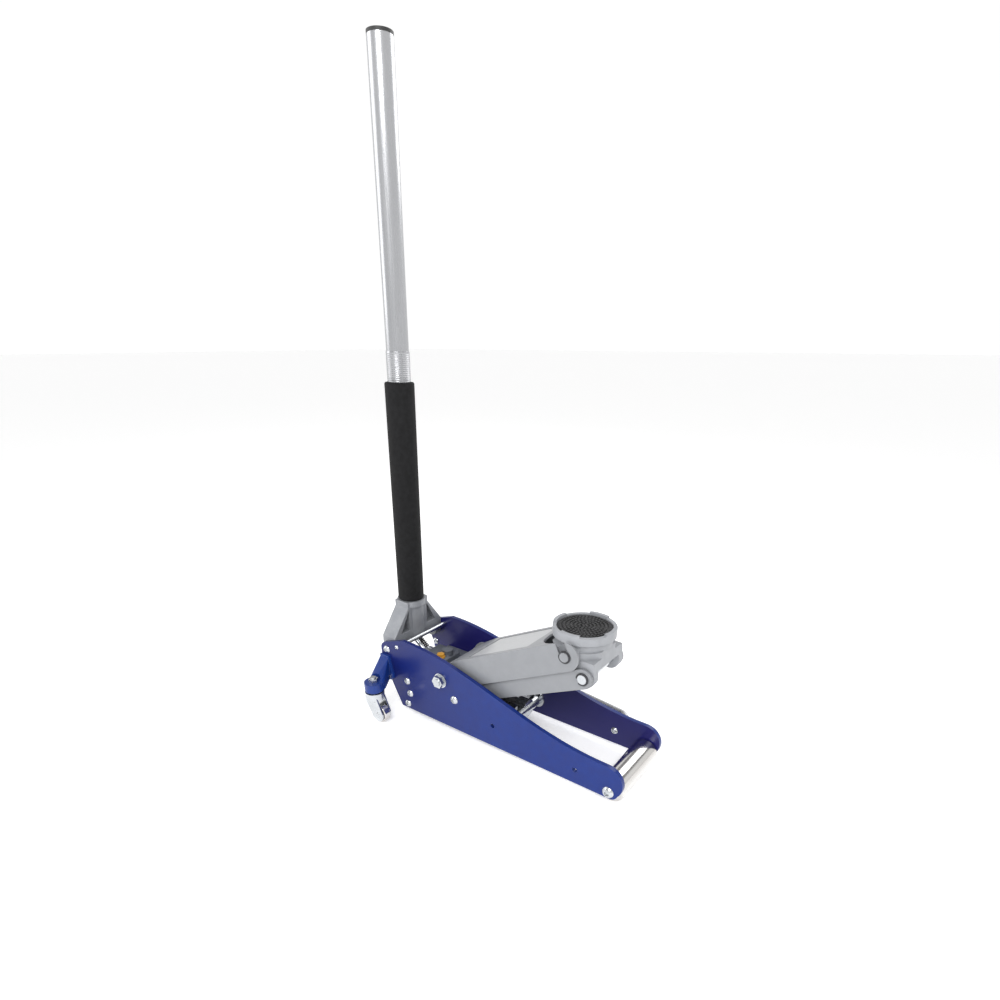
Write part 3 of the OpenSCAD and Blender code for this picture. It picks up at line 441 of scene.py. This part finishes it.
# two long coils beside the cylinder from the block to the crosshead, and two short ones from the
# plungers' caps down to the barrels
def makeSprings():
    s = returnSpring
    hook = s["hook"] * mm
    for sign, side in ((1, "Left"), (-1, "Right")):
        low = np.array([s["start"] * mm + hook, sign * s["side"] * mm, ramHeight + s["lift"] * mm])
        high = low + [(s["end"] - s["start"]) * mm - 2 * hook, 0, 0]
        piece = coil("returnSpring" + side, low, [1, 0, 0], high[0] - low[0],
            s["radius"] * mm, s["wire"] * mm, s["turns"], hooks=hook)
        dress(piece, "spring_steel")
        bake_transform(piece)
        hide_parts("return_springs")
    s = pumpSpring
    gap = s["gap"] * mm
    along = np.array([math.cos(pumpTilt), 0, -math.sin(pumpTilt)])
    down = np.array([-math.sin(pumpTilt), 0, -math.cos(pumpTilt)])
    for sign, side in ((1, "Left"), (-1, "Right")):
        low = handlePivot + down * s["drop"] * mm + [0, sign * s["side"] * mm, 0]
        high = low + along * s["end"] * mm
        piece = coil("pumpSpring" + side, low + along * gap, along, s["end"] * mm - 2 * gap,
            s["radius"] * mm, s["wire"] * mm, s["turns"])
        dress(piece, "spring_steel")
        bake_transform(piece)
        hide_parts("pump_springs")


makeSprings()
print("springs made")

sleeve = dict(bottom=87.5, top=477.0, outer=25.0, inner=18.5, round=3.0)
collar = dict(bottom=477.0, top=523.0, outer=19.7, inner=18.5, groove=0.5, pitch=3.0, lip=0.4,
    plain=2.0, steps=160)
handleAxis = np.array([math.sin(handleLean), 0, math.cos(handleLean)])


# the sleeve is a rounded rectangle turned round the handle; the collar's radius dips by a
# sharpened cosine of its height, once in each pitch
def makeHandleParts():
    s = sleeve
    profile = roundCorners([[s["inner"], s["bottom"]], [s["outer"], s["bottom"]],
        [s["outer"], s["top"]], [s["inner"], s["top"]]], s["round"], 6)
    piece = lathe("foamSleeve", profile, handlePivot, handleAxis, 128)
    dress(piece, "sleeve_foam")
    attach(piece, "handle")
    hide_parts("foam_sleeve")
    c = collar
    z = np.linspace(c["bottom"] + c["plain"], c["top"] - c["plain"], c["steps"])
    wave = c["outer"] - c["groove"] * (0.5 + 0.5 * np.cos(2 * math.pi * z / c["pitch"])) ** 3
    rim = c["outer"] - c["lip"]
    outline = np.concatenate([
        [[c["inner"], c["bottom"]], [rim, c["bottom"]]],
        np.stack([wave, z], 1),
        [[rim, c["top"]], [c["inner"], c["top"]]]])
    piece = lathe("jointCollar", outline, handlePivot, handleAxis, 96)
    dress(piece, "tube_aluminium")
    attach(piece, "handle")
    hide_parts("joint_collar")


makeHandleParts()
print("handle parts made")

armPivot = np.array([-0.106, 0.0, 0.108])
armPanel = dict(angle=26.0, start=66.0, end=205.0, half=46.5, topStart=26.05, topEnd=24.75,
    thickness=1.6, edge=0.5, inset=0.7, round=5.0)


# a rounded rectangle in three rings, whose height falls evenly from start to end, turned up
# about the arm's pivot by the arm's angle
def makeArmPanel():
    a = armPanel
    outline = roundCorners([
        [a["start"], -a["half"]], [a["end"], -a["half"]],
        [a["end"], a["half"]], [a["start"], a["half"]]], a["round"], 8)
    inset = outline - np.sign(outline - outline.mean(0)) * a["inset"]
    share = (outline[:, 0] - a["start"]) / (a["end"] - a["start"])
    top = a["topStart"] + share * (a["topEnd"] - a["topStart"])
    rings = [np.c_[outline, top - a["thickness"]], np.c_[outline, top - a["edge"]], np.c_[inset, top]]
    x, y, z = (np.concatenate(rings) * mm).T
    cos, sin = math.cos(math.radians(a["angle"])), math.sin(math.radians(a["angle"]))
    verts = np.stack([x * cos - z * sin, y, x * sin + z * cos], -1) + armPivot
    count = len(outline)
    faces = gridFaces(3, count, closeColumns=True).tolist() + [list(range(2 * count, 3 * count))]
    mesh = bpy.data.meshes.new("armPanel")
    mesh.from_pydata(verts.tolist(), [], faces)
    piece = bpy.data.objects.new("armPanel", mesh)
    bpy.context.scene.collection.objects.link(piece)
    # its lighter grey is a painted highlight on the arm's top
    dress(piece, "panel_paint")
    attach(piece, "arm")


makeArmPanel()
print("arm panel made")


# puts the object in the scene with its -Z axis pointing from its place to the target
def aimAt(piece, place, target):
    piece.location = place
    direction = piece.location.copy()
    direction.x, direction.y, direction.z = [t - p for t, p in zip(target, place)]
    piece.rotation_mode = "QUATERNION"
    piece.rotation_quaternion = direction.to_track_quat("-Z", "Y")
    bpy.context.scene.collection.objects.link(piece)


stage = dict(reach=40.0, lines=9, drop=0.0002, glow=0.34)


def makeStage():
    lines = stage["lines"]
    side = np.linspace(-stage["reach"], stage["reach"], lines)
    gx, gy = np.meshgrid(side, side, indexing="ij")
    verts = np.stack([gx, gy, np.full_like(gx, -stage["drop"])], -1).reshape(-1, 3)
    floor = makeMesh("floor", verts, gridFaces(lines, lines)[:, ::-1], smooth=False)
    material = bpy.data.materials.new("floorPaint")
    material.use_nodes = True
    surface = material.node_tree.nodes["Principled BSDF"]
    surface.inputs["Base Color"].default_value = (0.93, 0.93, 0.93, 1)
    surface.inputs["Roughness"].default_value = 0.8
    surface.inputs["Specular IOR Level"].default_value = 0.1
    surface.inputs["Emission Color"].default_value = (1, 1, 1, 1)
    surface.inputs["Emission Strength"].default_value = stage["glow"]
    floor.data.materials.append(material)


def makeLight(name, place, target, size, power):
    data = bpy.data.lights.new(name, "AREA")
    data.size = size
    data.energy = power
    aimAt(bpy.data.objects.new(name, data), place, target)


def makeWorld():
    # the camera sees plain white; the metal mirrors white up to a little above the horizon, and
    # darker and lighter bands over it
    bands = [(0.0, 1.0), (0.42, 1.0), (0.50, 0.22), (0.60, 0.16), (0.66, 0.95), (0.78, 0.95),
        (0.86, 0.35), (1.0, 0.55)]
    world = bpy.data.worlds.new("studio")
    world.use_nodes = True
    tree = world.node_tree
    background = tree.nodes["Background"]
    coordinate = add(tree, "ShaderNodeTexCoord")
    split = add(tree, "ShaderNodeSeparateXYZ")
    colours = add(tree, "ShaderNodeValToRGB")
    colours.color_ramp.interpolation = "EASE"
    stops = colours.color_ramp.elements
    for index, (height, level) in enumerate(bands):
        stop = stops[index] if index < 2 else stops.new(height)
        stop.position = height
        stop.color = (level, level, level, 1)
    tree.links.new(coordinate.outputs["Generated"], split.inputs[0])
    tree.links.new(split.outputs["Z"], colours.inputs["Fac"])
    rays = add(tree, "ShaderNodeLightPath")
    backdrop = mixColour(tree, rays.outputs["Is Camera Ray"], colours.outputs["Color"], (1.0, 1.0, 1.0))
    tree.links.new(backdrop, background.inputs["Color"])
    background.inputs["Strength"].default_value = 1.02
    bpy.context.scene.world = world
    makeLight("key", (0.9, -1.9, 2.2), (0, 0, 0.2), 1.4, 48)
    makeLight("fill", (-2.2, -1.2, 1.4), (0, 0, 0.3), 1.6, 14)
    makeLight("rim", (0.4, 2.4, 2.0), (0, 0, 0.3), 1.6, 24)
    bpy.context.scene.view_settings.view_transform = "Standard"


camera = dict(place=(0.5585, -0.7748, 0.6682), aim=(-0.0243, 0.0, 0.1493), lens=21.4, shiftY=0.158,
    sensor=36, near=0.01)


def makeCamera():
    data = bpy.data.cameras.new("camera")
    data.lens = camera["lens"]
    data.sensor_width = camera["sensor"]
    data.shift_y = camera["shiftY"]
    data.clip_start = camera["near"]
    eye = bpy.data.objects.new("camera", data)
    aimAt(eye, camera["place"], camera["aim"])
    bpy.context.scene.camera = eye


makeStage()
makeWorld()
makeCamera()
print("stage made")
